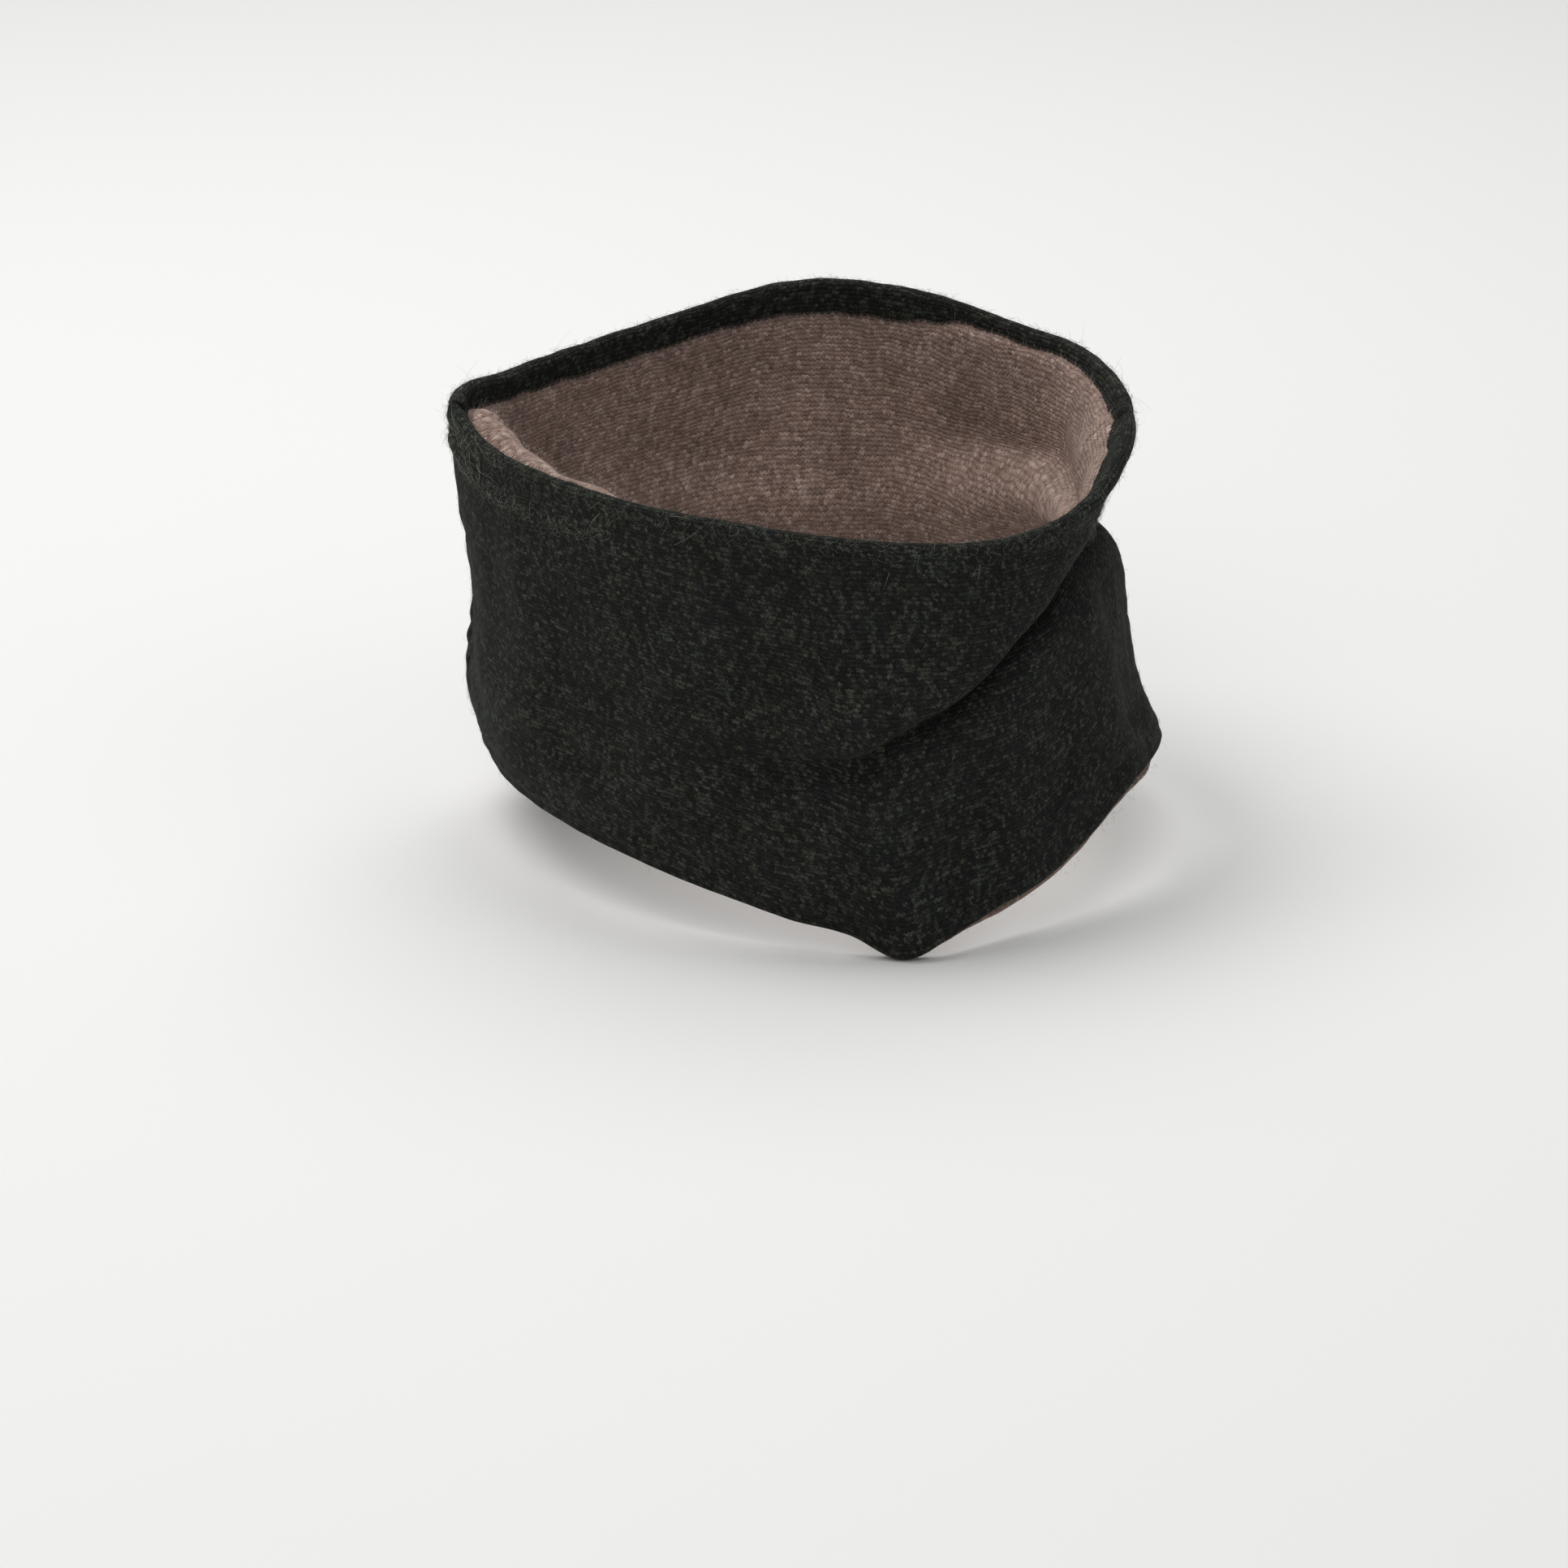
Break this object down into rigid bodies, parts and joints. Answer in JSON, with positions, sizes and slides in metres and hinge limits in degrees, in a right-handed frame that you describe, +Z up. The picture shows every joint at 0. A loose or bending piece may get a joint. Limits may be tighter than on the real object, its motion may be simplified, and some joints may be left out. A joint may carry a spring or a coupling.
{
  "type": "neck gaiter",
  "caption": "Two-layer knitted neck gaiter, a soft tube draped in folds as worn: dark outer knit turned over the top edge, brown lining inside, pointed front hem.",
  "frame": {"origin": "on the neck axis, at the level of the lowest point of the hem", "axes": "+Z up along the neck, -Y the wearer's front, +X to the right as seen from the front, millimetres in the source and metres in the row"},
  "size_m": [0.2138, 0.1958, 0.1466],
  "materials": {
    "outer_knit": "fine wool knit, melange, fuzzy",
    "lining_knit": "fine wool knit, melange, fuzzy",
    "outer_yarn": "matt seaming yarn",
    "lining_yarn": "matt seaming yarn",
    "label_tape": "plain woven tape"
  },
  "bodies": {
    "root": {"outer_front_panel": "outer_knit", "outer_back_panel": "outer_knit", "lining_front_panel": "lining_knit", "lining_back_panel": "lining_knit", "outer_left_seam_thread": "outer_yarn", "outer_right_seam_thread": "outer_yarn", "lining_left_seam_thread": "lining_yarn", "lining_right_seam_thread": "lining_yarn", "top_edge_seam_thread": "outer_yarn", "bottom_edge_seam_thread": "outer_yarn", "care_label": "label_tape"}
  },
  "joints": []
}
